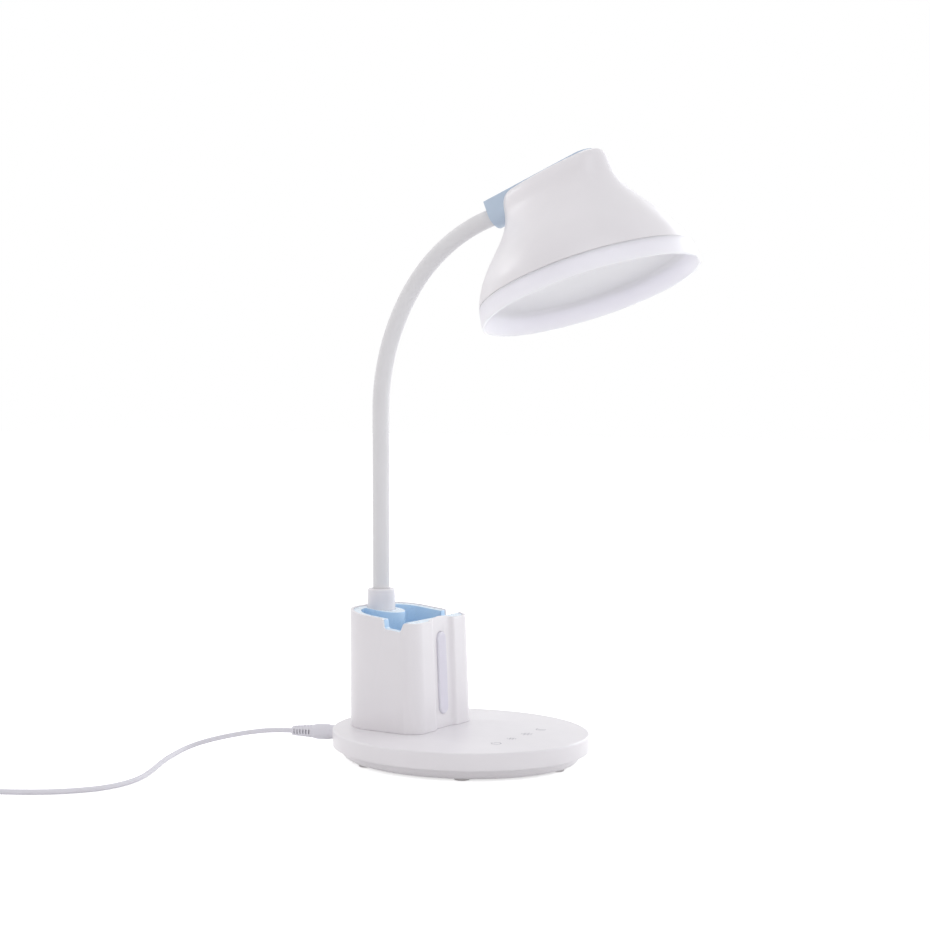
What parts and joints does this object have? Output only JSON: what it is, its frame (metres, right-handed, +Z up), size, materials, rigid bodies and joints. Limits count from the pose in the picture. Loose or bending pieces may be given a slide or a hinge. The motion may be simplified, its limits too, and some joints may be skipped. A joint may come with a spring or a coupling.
{
  "type": "led table lamp",
  "caption": "Table lamp with a flexible arched neck, a wide round shade with a recessed diffuser, and an oval base that carries a pen holder with a night-light strip.",
  "frame": {"origin": "on the table under the middle of the oval base", "axes": "+Z up; -Y is the front, the way the head reaches; +X is to the right as seen from the front"},
  "size_m": [0.3411, 0.4823, 0.3893],
  "materials": {
    "white_plastic": "satin white",
    "neck_sleeve_soft": "smooth matt white",
    "liner_blue": "satin pale blue",
    "bracket_blue": "satin grey-blue",
    "frosted_plastic": "frosted white",
    "foot_rubber": "matt dark grey",
    "steel": "plated",
    "brass": "machined",
    "ballast_iron": "raw",
    "circuit_board": "lacquered",
    "board_white": "white lacquer",
    "carrier_aluminium": "pressed sheet",
    "led_chip": "phosphor yellow",
    "black_plastic": "moulded",
    "lead_white": "smooth pale grey",
    "tie_grey": "matt"
  },
  "bodies": {
    "base": {"base_top_shell": "white_plastic", "base_bottom_cover": "white_plastic", "rubber_feet": "foot_rubber", "base_screws": "steel", "ballast_plate": "ballast_iron", "touch_board": "circuit_board", "touch_pads": "brass", "board_screws": "steel", "driver_board": "circuit_board", "dc_jack": "black_plastic", "dc_jack_pin": "steel", "holder_shell": "white_plastic", "holder_liner": "liner_blue", "holder_screws": "steel", "night_light_lens": "frosted_plastic", "night_light_board": "circuit_board", "night_light_leds": "led_chip", "neck_collar": "white_plastic", "dc_plug": "lead_white", "dc_plug_barrel": "steel", "strain_relief": "lead_white", "power_lead": "lead_white", "lead_coil": "lead_white", "lead_tail": "lead_white", "coil_tie": "tie_grey", "usb_plug": "lead_white", "usb_shell": "steel", "usb_tongue": "black_plastic"},
    "neck_foot": {"neck_spigot": "brass", "neck_nut": "brass", "neck_core_1": "steel", "neck_sleeve": "neck_sleeve_soft", "neck_cable": "black_plastic"},
    "neck_lower": {"neck_core_2": "steel"},
    "neck_middle": {"neck_core_3": "steel"},
    "neck_upper": {"neck_core_4": "steel"},
    "head": {"neck_core_5": "steel", "head_nut": "brass", "head_bracket": "bracket_blue", "bracket_screws": "steel", "head_shell": "white_plastic", "diffuser": "frosted_plastic", "led_carrier": "carrier_aluminium", "led_board": "board_white", "leds": "led_chip", "head_screws": "steel"}
  },
  "joints": [
    {"name": "neck_swing", "type": "hinge", "parent": "base", "child": "neck_foot", "pos_m": [0, 0.0627, 0.093], "axis": [0, 0, 1], "range_deg": [-60, 60], "deforming": ["neck_sleeve", "neck_cable"]},
    {"name": "lower_bend", "type": "hinge", "parent": "neck_foot", "child": "neck_lower", "pos_m": [0, 0.0627, 0.15114], "axis": [1, 0, 0], "range_deg": [-20, 20], "deforming": ["neck_sleeve", "neck_cable"]},
    {"name": "middle_bend", "type": "hinge", "parent": "neck_lower", "child": "neck_middle", "pos_m": [0, 0.0627, 0.21614], "axis": [1, 0, 0], "range_deg": [-20, 20], "deforming": ["neck_sleeve", "neck_cable"]},
    {"name": "upper_bend", "type": "hinge", "parent": "neck_middle", "child": "neck_upper", "pos_m": [0, 0.05196, 0.27972], "axis": [1, 0, 0], "range_deg": [-20, 25], "deforming": ["neck_sleeve", "neck_cable"]},
    {"name": "head_tilt", "type": "hinge", "parent": "neck_upper", "child": "head", "pos_m": [0, 0.01338, 0.3311], "axis": [1, 0, 0], "range_deg": [-25, 25], "deforming": ["neck_sleeve", "neck_cable"]}
  ]
}
